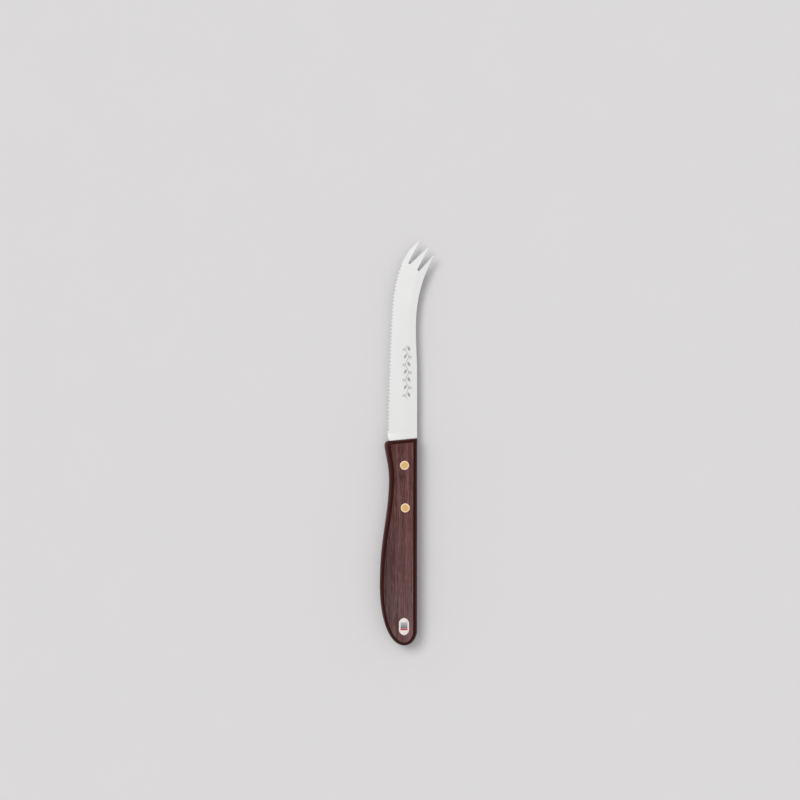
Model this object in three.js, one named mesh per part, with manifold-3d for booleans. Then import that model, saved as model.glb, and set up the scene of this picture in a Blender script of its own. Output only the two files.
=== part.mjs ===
// Citrus knife: a stamped steel blade with a serrated edge and a three-pronged tip, on a half tang that
// sits in the sawn slot of a one-piece rosewood handle and is held there by two brass cutler's rivets.
// Millimetres. The knife lies on its back: +Y to the tip, +X to the spine, +Z out of the labelled face.
import * as THREE from "three";
import { mergeVertices } from "three/addons/utils/BufferGeometryUtils.js";
import Module from "manifold-3d";

const kernel = await Module();
kernel.setup();
const { Manifold, Mesh } = kernel;

// Blade. Lengths are measured from the handle's front end, heights from the line of the spine.
const bladeLength = 108.4; // to the point of the longest prong
const heelHeight = 16.3; // spine to cutting edge at the heel
const heelLength = 3.4; // plain edge between the handle and the cutting edge
const heelTuck = 1.1; // how far the edge draws in over that length
const rootOverlap = 4; // how far the blade runs back over its tang
const steelThickness = 1.3;
const edgeThickness = 0.45; // what the grind leaves under the serrations
const grindHeight = 10; // from the edge up to where the faces begin to taper
const sweepLength = 40.4; // curved end of the blade, back from the longest prong's point
const sweepHeight = 14.1; // spine to edge where that curve begins
const spineHollow = 0.65; // the spine's shallow dip ahead of the sweep
const hollowSetback = 47.4; // its deepest point, back from the longest prong's point
const spineStraight = 34; // straight spine ahead of the handle
const heelCurl = 0.3; // where the heel's curve turns, as a share of its length
// How far the handles of the blade's curves reach, as shares of their stretches
const heelFullness = 0.316;
const sweepFullnessBack = 0.21;
const sweepFullnessOn = 0.48;
const edgeTipFullness = 0.18;
const hollowFullness = 0.4;
const spineSweepFullness = 0.42;
const spineTipFullness = 0.29;
// and how far they stand aside
const heelLean = 0.2;
const sweepLean = 0.9;
const edgeTipLean = 9.8;
const spineTipLean = 6.2;

// Fork. A reach is how far past the spine a point lies, a setback how far behind the longest prong's point.
const edgeProngReach = 0.9;
const middleProngReach = 5.8;
const middleProngSetback = 3.9;
const spineProngReach = 9.4;
const spineProngSetback = 7.8;
const prongTipWidth = 0.4;
const prongLean = 0.64; // radians, how far the prongs lean from the blade's length toward the spine
const gapRadius = 0.58; // round bottom of each gap between the prongs
const edgeGapReach = -4.2;
const edgeGapSetback = 12.05;
const spineGapReach = 0.75;
const spineGapSetback = 15.8;

// Serrations, ground from the back
const toothPitch = 1.96;
const toothDepth = 1.05;
const gullyRadius = 0.22;
const gullyFill = 0.5; // how far the round root fills the point of the gully's V, in radii
const gullySlope = 1.6; // how far a gully runs up the back for each millimetre of steel it crosses
const serrationStart = 1.2; // along the edge, from the heel to the first gully
const plainProng = 16; // plain edge at the end of the longest prong

// Handle
const handleLength = 112;
const handleThickness = 13;
const bellyHeight = 20.4;
const bellySetback = 79; // widest point, from the front end
const neckHeight = 15.4;
const neckSetback = 21.5;
const lipHeight = 17.9;
const lipSetback = 3;
const lipRadius = 2.1;
const lipRoundShare = 0.8; // the lip's rounded edge, at most this share of its radius
const frontSlant = 1.7; // how much further forward the front end stands at the spine than at the lip
const buttHeight = 6.9; // spine to the lowest point of the butt
const buttTurn = 8.4; // length of the round from the spine to the butt
const edgeRound = 2.4; // width of the rounded edge along the spine and the belly
const neckRound = 3.1;
const buttRound = 1.9;
const frontRound = 2.2;
const edgeDrop = 3.2; // how far that rounded edge comes down the side
const arris = 0.52; // radians, where the rounded edge breaks from the flat face
// How far the handles of the outline's curves reach, as shares of their stretches
const lipFullness = 0.16;
const neckFullnessUp = 0.42;
const neckFullnessDown = 0.33;
const bellyFullnessUp = 0.45;
const bellyFullnessDown = 0.6;
const buttFullness = 0.6;

// Tang and its slot
const tangLength = 46;
const tangInset = 0.12; // tang's edges below the wood
const slotClearance = 0.05; // each side of the steel
const slotEndClearance = 0.3;
const sawRadius = 60; // the slot ends in the arc of the saw that cut it

// Rivets: the front half's pin is pressed into the back half's tube
const rivetHeadDiameter = 5.1;
const rivetHeadThickness = 1.6;
const rivetTubeDiameter = 3.8;
const rivetPinDiameter = 2.5;
const rivetClearance = 0.05;
const rivetRecess = 0.03; // heads below the wood
const headChamfer = 0.15;
const pinEndClearance = 0.3;
const frontRivetSetback = 13.9;
const frontRivetHeight = 6.9;
const rearRivetSetback = 37;
const rearRivetHeight = 6.5;

// Label
const labelWidth = 5.5;
const labelLength = 9.4;
const labelThickness = 0.15;
const labelSetback = 101.45;
const labelHeight = 7.2;
const labelClearance = 0.02;

// Fineness of round forms
const curveSteps = 16;
const frontSteps = 4;
const lipSteps = 6;
const neckSteps = 10;
const turnSteps = 10;
const spineSteps = 8;
const roundSteps = 5;
const rivetSides = 28;
const loftSteps = 30;
const sawSides = 180;
const spare = 2; // how far trimming shapes reach past what they trim
const weld = 1e-4; // points this near each other are one

const halfHandle = handleThickness / 2;
const point = (x, y) => new THREE.Vector2(x, y);
const cubic = (...points) => new THREE.CubicBezierCurve(...points);

// A geometry becomes a solid for joining and cutting, and comes back as the geometry of one mesh.
function solid(geometry) {
  const bare = new THREE.BufferGeometry().setAttribute("position", geometry.attributes.position.clone());
  bare.setIndex(geometry.index);
  const { attributes, index } = mergeVertices(bare, weld);
  const triVerts = [];
  for (let i = 0; i < index.count; i += 3) {
    const [a, b, c] = [index.getX(i), index.getX(i + 1), index.getX(i + 2)];
    if (a !== b && b !== c && c !== a) triVerts.push(a, b, c);
  }
  const vertProperties = attributes.position.array;
  return new Manifold(new Mesh({ numProp: 3, vertProperties, triVerts: new Uint32Array(triVerts) }));
}

function geometryOf(body) {
  const { vertProperties, triVerts } = body.getMesh();
  const geometry = new THREE.BufferGeometry();
  geometry.setAttribute("position", new THREE.BufferAttribute(vertProperties, 3));
  geometry.setIndex(new THREE.BufferAttribute(triVerts, 1));
  geometry.computeVertexNormals();
  return geometry;
}

// A flat shape raised between two heights
function plate(shape, low, high) {
  const settings = { depth: high - low, bevelEnabled: false, curveSegments: curveSteps };
  return new THREE.ExtrudeGeometry(shape, settings).translate(0, 0, low);
}

// A round hole along Z
function drill(center, diameter, low, high) {
  const bit = new THREE.CylinderGeometry(diameter / 2, diameter / 2, high - low, rivetSides);
  return solid(bit.rotateX(Math.PI / 2).translate(center.x, center.y, (low + high) / 2));
}

// A closed skin over a row of rings with equal numbers of points.
// `flatten` lays an end ring out flat for its cap.
function loft(rings, flatten) {
  const count = rings[0].length;
  const index = [];
  for (let a = 0; a < count * (rings.length - 1); a++) {
    const b = a - (a % count) + ((a + 1) % count);
    index.push(a, b, b + count, a, b + count, a + count);
  }
  const cap = (ring, first, alongRing) => {
    const outline = ring.map(flatten);
    const clockwise = THREE.ShapeUtils.isClockWise(outline);
    if (clockwise) outline.reverse();
    for (const face of THREE.ShapeUtils.triangulateShape(outline, [])) {
      const corners = face.map((i) => first + (clockwise ? count - 1 - i : i));
      index.push(...(alongRing === clockwise ? corners.reverse() : corners));
    }
  };
  cap(rings[0], 0, false);
  cap(rings.at(-1), count * (rings.length - 1), true);
  const geometry = new THREE.BufferGeometry().setFromPoints(rings.flat());
  return geometry.setIndex(index);
}

// Handle outline, from the front end's spine corner round by the lip, the belly and the butt.
// Each stretch carries the width of the rounded edge at its two ends.
const frontAt = (x) => frontSlant * (0.5 + x / lipHeight);
const quarter = 0.55; // handle length that makes a curve follow a quarter of an ellipse
const frontCorner = point(0, frontAt(0));
const lipTop = point(lipRadius - lipHeight, frontAt(lipRadius - lipHeight));
const lip = point(-lipHeight, -lipSetback);
const neck = point(-neckHeight, -neckSetback);
const belly = point(-bellyHeight, -bellySetback);
const butt = point(-buttHeight, -handleLength);
const spineEnd = point(0, buttTurn - handleLength);
const lipRound = Math.min(frontRound, lipRoundShare * lipRadius);
const lipRun = neckSetback - lipSetback;
const neckRun = bellySetback - neckSetback;
const buttRun = handleLength - bellySetback;

const handleStretches = [
  { curve: new THREE.LineCurve(frontCorner, lipTop), steps: frontSteps, rounds: [frontRound, lipRound] },
  {
    curve: cubic(
      lipTop,
      point(lipTop.x - quarter * lipRadius, frontAt(lipTop.x - quarter * lipRadius)),
      point(lip.x, lip.y + quarter * (frontAt(lip.x) - lip.y)),
      lip,
    ),
    steps: lipSteps,
    rounds: [lipRound, lipRound],
  },
  {
    curve: cubic(
      lip,
      point(lip.x, lip.y - lipFullness * lipRun),
      point(neck.x, neck.y + neckFullnessUp * lipRun),
      neck,
    ),
    steps: neckSteps,
    rounds: [lipRound, neckRound],
  },
  {
    curve: cubic(
      neck,
      point(neck.x, neck.y - neckFullnessDown * neckRun),
      point(belly.x, belly.y + bellyFullnessUp * neckRun),
      belly,
    ),
    steps: curveSteps,
    rounds: [neckRound, edgeRound],
  },
  {
    curve: cubic(
      belly,
      point(belly.x, belly.y - bellyFullnessDown * buttRun),
      point(butt.x + buttFullness * (belly.x - butt.x), butt.y),
      butt,
    ),
    steps: curveSteps,
    rounds: [edgeRound, buttRound],
  },
  {
    curve: cubic(
      butt,
      point(butt.x * (1 - quarter), butt.y),
      point(0, spineEnd.y - quarter * buttTurn),
      spineEnd,
    ),
    steps: turnSteps,
    rounds: [buttRound, edgeRound],
  },
  { curve: new THREE.LineCurve(spineEnd, frontCorner), steps: spineSteps, rounds: [edgeRound, frontRound] },
];

const handleOutline = handleStretches.flatMap(({ curve, steps, rounds }) =>
  Array.from({ length: steps }, (_, i) => ({
    at: curve.getPoint(i / steps),
    round: THREE.MathUtils.lerp(rounds[0], rounds[1], i / steps),
  })),
);

// Unit inset at each outline point: moving every point by it moves each side in by one millimetre.
const insets = handleOutline.map(({ at }, i, all) => {
  const before = at.clone().sub(all.at(i - 1).at).normalize();
  const after = all[(i + 1) % all.length].at.clone().sub(at).normalize();
  const sum = point(-before.y - after.y, before.x + after.x);
  return sum.divideScalar(1 + before.dot(after));
});
const insetPoint = (i, distance) => handleOutline[i].at.clone().addScaledVector(insets[i], distance);

// Rings climb the back face's rounded edge, the side, and the front face's rounded edge.
function handleRing(turn, side) {
  const inward = (1 - Math.sin(turn)) / (1 - Math.sin(arris));
  const downward = 1 - Math.cos(turn) / Math.cos(arris);
  return handleOutline.map(({ round }, i) => {
    const { x, y } = insetPoint(i, round * inward);
    const drop = (round * edgeDrop * downward) / edgeRound;
    return new THREE.Vector3(x, y, side * (halfHandle - drop));
  });
}
const turns = Array.from(
  { length: roundSteps + 1 },
  (_, i) => arris + ((Math.PI / 2 - arris) * i) / roundSteps,
);
const handleRings = [
  ...turns.map((turn) => handleRing(turn, -1)),
  ...turns.toReversed().map((turn) => handleRing(turn, 1)),
];
const handleBlank = solid(loft(handleRings, (p) => point(p.x, p.y)));

// The saw that cuts the slot: a disc whose rim stops at the depth given, halfway down the neck
function sawCut(depth, low, high) {
  const disc = new THREE.CylinderGeometry(sawRadius, sawRadius, high - low, sawSides).rotateX(Math.PI / 2);
  return solid(disc.translate(-neckHeight / 2, sawRadius - depth, (low + high) / 2));
}
const slotHalf = steelThickness / 2 + slotClearance;
const slot = sawCut(tangLength + slotEndClearance, -slotHalf, slotHalf);

// Blade outline
const acrossProng = point(Math.cos(prongLean), -Math.sin(prongLean)).multiplyScalar(prongTipWidth);
const edgeTip = point(edgeProngReach, bladeLength);
const middleTip = point(middleProngReach, bladeLength - middleProngSetback);
const spineTip = point(spineProngReach, bladeLength - spineProngSetback);
const heel = point(-heelHeight, heelLength);
const hollow = point(-spineHollow, bladeLength - hollowSetback);

const sweep = point(-sweepHeight, bladeLength - sweepLength);
const plainRun = sweep.y - heel.y;
const edgeLine = new THREE.CurvePath();
edgeLine.add(
  cubic(
    heel,
    point(heel.x + heelLean, heel.y + heelFullness * plainRun),
    point(sweep.x - sweepLean, sweep.y - sweepFullnessBack * plainRun),
    sweep,
  ),
);
edgeLine.add(
  cubic(
    sweep,
    point(sweep.x + sweepLean, sweep.y + sweepFullnessOn * sweepLength),
    point(edgeTip.x - edgeTipLean, edgeTip.y - edgeTipFullness * sweepLength),
    edgeTip,
  ),
);

const bend = point(0, spineStraight);
const hollowRun = hollow.y - bend.y;
const spineRun = spineTip.y - hollow.y;
const spineLine = new THREE.CurvePath();
spineLine.add(new THREE.LineCurve(point(0, heelLength), bend));
spineLine.add(
  cubic(
    bend,
    point(bend.x, bend.y + hollowFullness * hollowRun),
    point(hollow.x, hollow.y - hollowFullness * hollowRun),
    hollow,
  ),
);
spineLine.add(
  cubic(
    hollow,
    point(hollow.x, hollow.y + spineSweepFullness * spineRun),
    point(spineTip.x - spineTipLean, spineTip.y - spineTipFullness * spineRun),
    spineTip,
  ),
);

// A gap between two prongs: down one straight wall, round the bottom, up the other
function cutGap(shape, center, left, right) {
  const tangentAngle = (tip, side) => {
    const away = tip.clone().sub(center);
    return away.angle() + side * Math.acos(gapRadius / away.length());
  };
  shape.lineTo(left.x, left.y);
  shape.absarc(center.x, center.y, gapRadius, tangentAngle(left, 1), tangentAngle(right, -1) + 2 * Math.PI);
  shape.lineTo(right.x, right.y);
}

const bladeShape = new THREE.Shape();
bladeShape.moveTo(0, -rootOverlap);
bladeShape.lineTo(heelTuck - heelHeight, -rootOverlap);
bladeShape.lineTo(heelTuck - heelHeight, frontAt(heelTuck - heelHeight));
bladeShape.quadraticCurveTo(heel.x, heel.y * heelCurl, heel.x, heel.y);
for (const { v1, v2, v3 } of edgeLine.curves) bladeShape.bezierCurveTo(v1.x, v1.y, v2.x, v2.y, v3.x, v3.y);
const halfTip = acrossProng.clone().multiplyScalar(0.5);
cutGap(
  bladeShape,
  point(edgeGapReach, bladeLength - edgeGapSetback),
  edgeTip.clone().add(acrossProng),
  middleTip.clone().sub(halfTip),
);
cutGap(
  bladeShape,
  point(spineGapReach, bladeLength - spineGapSetback),
  middleTip.clone().add(halfTip),
  spineTip.clone().sub(acrossProng),
);
bladeShape.lineTo(spineTip.x, spineTip.y);
for (const curve of spineLine.curves.slice(1).reverse()) {
  bladeShape.bezierCurveTo(curve.v2.x, curve.v2.y, curve.v1.x, curve.v1.y, curve.v0.x, curve.v0.y);
}

// The ground section follows rows that cross the blade from edge to spine: thinnest at the edge,
// flat above the grind. Over the heel the grind runs out to the full steel at the handle's front end.
function bladeSection([edge, spine, thinnest]) {
  const across = spine.clone().sub(edge).normalize();
  const at = (distance, z) => {
    const { x, y } = edge.clone().addScaledVector(across, distance);
    return new THREE.Vector3(x, y, z);
  };
  const taper = (steelThickness - thinnest) / grindHeight;
  const thin = (thinnest - taper * spare) / 2;
  const full = steelThickness / 2;
  const inside = edge.distanceTo(spine) + spare;
  const top = [at(-spare, thin), at(grindHeight, full), at(inside, full)];
  return [at(-spare, -thin), ...top, at(inside, -full), at(grindHeight, -full)];
}
const moved = ([edge, spine, thinnest], step) => [
  edge.clone().add(step),
  spine.clone().add(step),
  thinnest,
];
const sections = Array.from({ length: loftSteps + 1 }, (_, i) => [
  edgeLine.getPoint(i / loftSteps),
  spineLine.getPoint(i / loftSteps),
  edgeThickness,
]);
const frontSection = [point(heel.x, frontAt(heel.x)), frontCorner, steelThickness];
const rootSection = moved(frontSection, point(0, -rootOverlap - spare));
const pastProngs = point(Math.sin(prongLean), Math.cos(prongLean)).multiplyScalar(2 * spare);
const tipSection = moved(sections.at(-1), pastProngs);
const groundRings = [rootSection, frontSection, ...sections, tipSection].map(bladeSection);
const ground = solid(loft(groundRings, (p) => point(p.x, p.z)));

// One gully: a round-bottomed V, leaning so that it runs up the back
const serratedLength = edgeLine.getLength() - serrationStart - plainProng;
const gullyCount = Math.round(serratedLength / toothPitch);
const gullyPitch = serratedLength / gullyCount;
function gully(distance) {
  const apex = toothDepth + gullyFill * gullyRadius;
  const flank = Math.atan2(gullyPitch / 2, apex);
  const mouth = (apex + spare) * Math.tan(flank);
  const shape = new THREE.Shape();
  shape.moveTo(mouth, -spare);
  shape.lineTo(-mouth, -spare);
  shape.absarc(0, apex - gullyRadius / Math.sin(flank), gullyRadius, Math.PI - flank, flank, true);
  const settings = { depth: 3 * steelThickness, bevelEnabled: false, curveSegments: 1 };
  const cutter = new THREE.ExtrudeGeometry(shape, settings).translate(0, 0, -2 * steelThickness);
  cutter.applyMatrix4(new THREE.Matrix4().makeShear(0, 0, 0, 0, 0, -gullySlope));

  const along = distance / edgeLine.getLength();
  const foot = edgeLine.getPoint(along);
  const run = edgeLine.getTangent(along);
  const frame = new THREE.Matrix4().makeBasis(
    new THREE.Vector3(-run.x, -run.y, 0),
    new THREE.Vector3(run.y, -run.x, 0),
    new THREE.Vector3(0, 0, 1),
  );
  frame.setPosition(foot.x, foot.y, edgeThickness / 2);
  return solid(cutter.applyMatrix4(frame));
}
const gullies = Array.from({ length: gullyCount }, (_, i) =>
  gully(serrationStart + (i + 0.5) * gullyPitch),
);

// Rivet places, and the holes they need
const rivetPlaces = {
  front: point(-frontRivetHeight, -frontRivetSetback),
  rear: point(-rearRivetHeight, -rearRivetSetback),
};
const boreDiameter = rivetTubeDiameter + 2 * rivetClearance;
const headBore = rivetHeadDiameter + 2 * rivetClearance;
const headFace = halfHandle - rivetRecess;
const headSeat = headFace - rivetHeadThickness;
const places = Object.values(rivetPlaces);
const through = places.map((place) => drill(place, boreDiameter, -handleThickness, handleThickness));
const counterbores = places.flatMap((place) => [
  drill(place, headBore, headSeat - rivetClearance, handleThickness),
  drill(place, headBore, -handleThickness, rivetClearance - headSeat),
]);

// Blade and tang are one piece of steel; the tang is the handle's outline, kept just below the wood.
const tangShape = new THREE.Shape(handleOutline.map((_, i) => insetPoint(i, tangInset)));
const halfSteel = steelThickness / 2;
const tang = Manifold.intersection(
  solid(plate(tangShape, -halfSteel, halfSteel)),
  sawCut(tangLength, -steelThickness, steelThickness),
);
const bladeBlank = Manifold.intersection(solid(plate(bladeShape, -steelThickness, steelThickness)), ground);
const bladeBody = Manifold.union(bladeBlank, tang).subtract(Manifold.union([...gullies, ...through]));
const handleBody = handleBlank.subtract(Manifold.union([slot, ...through, ...counterbores]));

// Rivet halves are turned; each profile runs from the axis at the bottom to the axis at the top.
function turned(place, profile) {
  const outline = profile.map(([radius, z]) => point(radius, z));
  const geometry = new THREE.LatheGeometry(outline, rivetSides).rotateX(Math.PI / 2);
  return solid(geometry.translate(place.x, place.y, 0));
}
const headRadius = rivetHeadDiameter / 2;
const pinRadius = rivetPinDiameter / 2;
const tubeRadius = rivetTubeDiameter / 2;
const boreRadius = pinRadius + rivetClearance;
const pinHalf = (place) =>
  turned(place, [
    [0, pinEndClearance - headSeat],
    [pinRadius - headChamfer, pinEndClearance - headSeat],
    [pinRadius, pinEndClearance - headSeat + headChamfer],
    [pinRadius, headSeat],
    [headRadius, headSeat],
    [headRadius, headFace - headChamfer],
    [headRadius - headChamfer, headFace],
    [0, headFace],
  ]);
const tubeHalf = (place) =>
  turned(place, [
    [0, -headFace],
    [headRadius - headChamfer, -headFace],
    [headRadius, headChamfer - headFace],
    [headRadius, -headSeat],
    [tubeRadius, -headSeat],
    [tubeRadius, headSeat - pinEndClearance],
    [boreRadius, headSeat - pinEndClearance],
    [boreRadius, -headSeat],
    [0, -headSeat],
  ]);

// Label: straight sides and round ends, stuck on the flat face near the butt
const labelShape = new THREE.Shape();
const labelStraight = (labelLength - labelWidth) / 2;
labelShape.absarc(-labelHeight, labelStraight - labelSetback, labelWidth / 2, 0, Math.PI);
labelShape.absarc(-labelHeight, -labelStraight - labelSetback, labelWidth / 2, Math.PI, 2 * Math.PI);
const labelFoot = halfHandle + labelClearance;
const labelBody = solid(plate(labelShape, labelFoot, labelFoot + labelThickness));

// Pieces
const steel = new THREE.MeshStandardMaterial({ color: 0xd4d6d8, roughness: 0.32, metalness: 1 });
const rosewood = new THREE.MeshStandardMaterial({ color: 0x4a2722, roughness: 0.5, metalness: 0 });
const brass = new THREE.MeshStandardMaterial({ color: 0xd6ac62, roughness: 0.35, metalness: 1 });
const gloss = new THREE.MeshStandardMaterial({ color: 0xf0ebe6, roughness: 0.25, metalness: 0 });

const knife = new THREE.Group();
knife.name = "citrus_knife";
function addPiece(name, body, material) {
  const mesh = new THREE.Mesh(geometryOf(body), material);
  mesh.name = name;
  knife.add(mesh);
}
addPiece("blade", bladeBody, steel);
addPiece("handle", handleBody, rosewood);
addPiece("front_rivet_pin", pinHalf(rivetPlaces.front), brass);
addPiece("front_rivet_tube", tubeHalf(rivetPlaces.front), brass);
addPiece("rear_rivet_pin", pinHalf(rivetPlaces.rear), brass);
addPiece("rear_rivet_tube", tubeHalf(rivetPlaces.rear), brass);
addPiece("label", labelBody, gloss);

// The origin is under the middle of the knife.
const box = new THREE.Box3().setFromObject(knife);
const middle = box.getCenter(new THREE.Vector3());
knife.position.set(-middle.x, -middle.y, -box.min.z);
knife.updateMatrixWorld(true);

export default knife;
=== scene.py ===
import math

import bmesh
import bpy
import numpy as np
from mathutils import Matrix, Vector


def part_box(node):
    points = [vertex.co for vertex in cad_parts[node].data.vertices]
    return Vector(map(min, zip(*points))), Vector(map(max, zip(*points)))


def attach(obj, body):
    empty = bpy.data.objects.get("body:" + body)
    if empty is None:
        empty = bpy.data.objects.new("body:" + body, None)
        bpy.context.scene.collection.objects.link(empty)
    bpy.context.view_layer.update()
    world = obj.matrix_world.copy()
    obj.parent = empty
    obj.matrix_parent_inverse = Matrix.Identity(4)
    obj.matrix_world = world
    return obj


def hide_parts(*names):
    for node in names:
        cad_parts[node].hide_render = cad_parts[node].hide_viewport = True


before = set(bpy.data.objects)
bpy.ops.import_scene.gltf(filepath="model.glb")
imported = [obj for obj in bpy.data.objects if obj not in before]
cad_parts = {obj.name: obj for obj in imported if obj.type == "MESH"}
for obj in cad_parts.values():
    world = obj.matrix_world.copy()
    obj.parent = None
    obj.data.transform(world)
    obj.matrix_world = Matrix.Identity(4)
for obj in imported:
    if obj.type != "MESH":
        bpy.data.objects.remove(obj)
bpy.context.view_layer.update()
mm = 0.001
weldDistance = 2e-6  # metres within which two points of a mesh are one


# A node's lowest and highest corners at rest, in millimetres.
def boxOf(node):
    return [np.array(corner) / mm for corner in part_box(node)]


# Outlines are drawn in millimetres from the spine line (x) and the middle of the handle's front end (y).
handleLow, handleHigh = boxOf("handle")
bladeLow, bladeHigh = boxOf("blade")
frontSlant = 1.7  # the front end stands further forward at the spine than at the lip
spineX = handleHigh[0]
frontY = handleHigh[1] - frontSlant / 2
midZ = handleHigh[2] / 2
bladeLength = bladeHigh[1] - frontY
handleLength = frontY - handleLow[1]
bellyHeight = spineX - handleLow[0]
forkReach = bladeHigh[0] - spineX
steelThickness = bladeHigh[2] - bladeLow[2]
rivetSpots = {place: sum(boxOf(place + "_rivet_pin"))[:2] / 2 for place in ("front", "rear")}


# Cubic curve: the four control points weighted by the Bernstein polynomials of t.
def cubic(points, t):
    a, b, c, d = (np.asarray(p, float) for p in points)
    t = np.asarray(t, float)[:, None]
    return a * (1 - t) ** 3 + 3 * b * t * (1 - t) ** 2 + 3 * c * t**2 * (1 - t) + d * t**3


# Running length: the summed distance from each point of a path to the one before it.
def runOf(path):
    return np.r_[0, np.cumsum(np.linalg.norm(np.diff(path, axis=0), axis=1))]


# Points at given distances along a path, read off each coordinate's line against running length.
def along(path, distances):
    run = runOf(path)
    return np.column_stack([np.interp(distances, run, path[:, k]) for k in range(path.shape[1])])


# Straight line: start plus a fraction of the way to the end, for equal fractions.
def straight(start, end, count):
    return np.asarray(start) + np.linspace(0, 1, count)[:, None] * (np.asarray(end) - np.asarray(start))


# Unit inset: the sum of both sides' inward normals at a point, over one plus the cosine between the sides.
def unitInset(path):
    after = np.roll(path, -1, axis=0) - path
    after /= np.linalg.norm(after, axis=1, keepdims=True)
    before = np.roll(after, 1, axis=0)
    normals = np.column_stack([-before[:, 1] - after[:, 1], before[:, 0] + after[:, 0]])
    return normals / (1 + np.sum(before * after, axis=1, keepdims=True))


# A mesh object from millimetre points, shaded smooth except across edges sharper than the angle.
def makePiece(name, points, faces, sharpAngle):
    mesh = bpy.data.meshes.new(name)
    mesh.from_pydata((np.asarray(points) * mm).tolist(), [], faces)
    merged = bmesh.new()
    merged.from_mesh(mesh)
    bmesh.ops.remove_doubles(merged, verts=merged.verts, dist=weldDistance)
    merged.to_mesh(mesh)
    merged.free()
    mesh.shade_smooth()
    mesh.set_sharp_from_angle(angle=math.radians(sharpAngle))
    piece = bpy.data.objects.new(name, mesh)
    bpy.context.scene.collection.objects.link(piece)
    return piece


# Cut other meshes out of a piece, bake the result into its mesh and drop the cutters.
def carve(piece, cutters, sharpAngle):
    for cutter in cutters:
        cut = piece.modifiers.new(cutter.name, "BOOLEAN")
        cut.operation = "DIFFERENCE"
        cut.solver = "EXACT"
        cut.object = cutter
    solid = piece.evaluated_get(bpy.context.evaluated_depsgraph_get())
    carved = bpy.data.meshes.new_from_object(solid)
    piece.modifiers.clear()
    piece.data = carved
    for cutter in cutters:
        bpy.data.objects.remove(cutter)
    carved.shade_smooth()
    carved.set_sharp_from_angle(angle=math.radians(sharpAngle))


# Quads of a grid of rows and columns whose first point has the given number.
def gridFaces(rows, columns, first=0, closed=False):
    r, c = np.meshgrid(np.arange(rows - 1), np.arange(columns if closed else columns - 1), indexing="ij")
    a = first + r * columns + c
    b = first + r * columns + (c + 1) % columns
    return np.stack([a, b, b + columns, a + columns], axis=-1).reshape(-1, 4)


# Faces of a stack of closed rings: the quads between them and one face over each end.
def stackFaces(rings, count):
    foot = list(range(count))[::-1]
    lid = list(range((rings - 1) * count, rings * count))
    return gridFaces(rings, count, closed=True).tolist() + [foot, lid]


# Turned form: each profile point (radius, height) is carried round a vertical axis at the spot.
def turned(name, spot, profile, sides, sharpAngle):
    profile = np.asarray(profile, float)
    angle = np.linspace(0, 2 * np.pi, sides, endpoint=False)
    radius, height = profile[:, :1], profile[:, 1:]
    x = spot[0] + radius * np.cos(angle)
    y = spot[1] + radius * np.sin(angle)
    points = np.stack([x, y, np.broadcast_to(height, x.shape)], axis=-1).reshape(-1, 3)
    return makePiece(name, points, gridFaces(len(profile), sides, closed=True).tolist(), sharpAngle)


handleLook = {
    "lipHeight": 17.9,
    "lipSetback": 3.0,
    "lipRadius": 2.1,
    "neckHeight": 15.4,
    "neckSetback": 21.5,
    "bellySetback": 79.0,
    "buttHeight": 6.9,
    "buttTurn": 8.4,
    "quarterFullness": 0.55,  # reach of each curve's handles, as shares of their stretches
    "lipFullness": 0.16,
    "neckFullness": (0.42, 0.33),
    "bellyFullness": (0.45, 0.6),
    "buttFullness": 0.6,
    "edgeRound": 2.4,  # width of the rounded edge along the spine and the belly
    "neckRound": 3.1,
    "buttRound": 1.9,
    "frontRound": 2.2,
    "lipRound": 3.9,
    "lipFoot": 0.6,  # the rounding's foot turns the lip on a copy of its curve, this many times as large
    "edgeDrop": 3.2,  # how far the rounded edge comes down the side
    "arris": 30,  # degrees at which the rounding breaks from the flat face
    "roundRings": 12,
    "outlinePoints": (16, 14, 30, 60, 56, 26, 60),  # front, lip, neck, belly, butt, its turn, spine
    "slotDepth": 46.3,
    "slotWidth": 1.4,
    "sawRadius": 60.0,
    "sawSides": 360,
    "headBore": 5.2,
    "tubeBore": 3.9,
    "headDepth": 1.68,
    "boreSides": 72,
    "boreSpare": 1.0,  # how far a bore's cutter stands out of the wood
    "sharpAngle": 22,  # degrees
}


# Front end: a straight slanted line, as far forward as its share of the lip's height.
def frontAt(x):
    return frontSlant * (0.5 + x / handleLook["lipHeight"])


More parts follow.
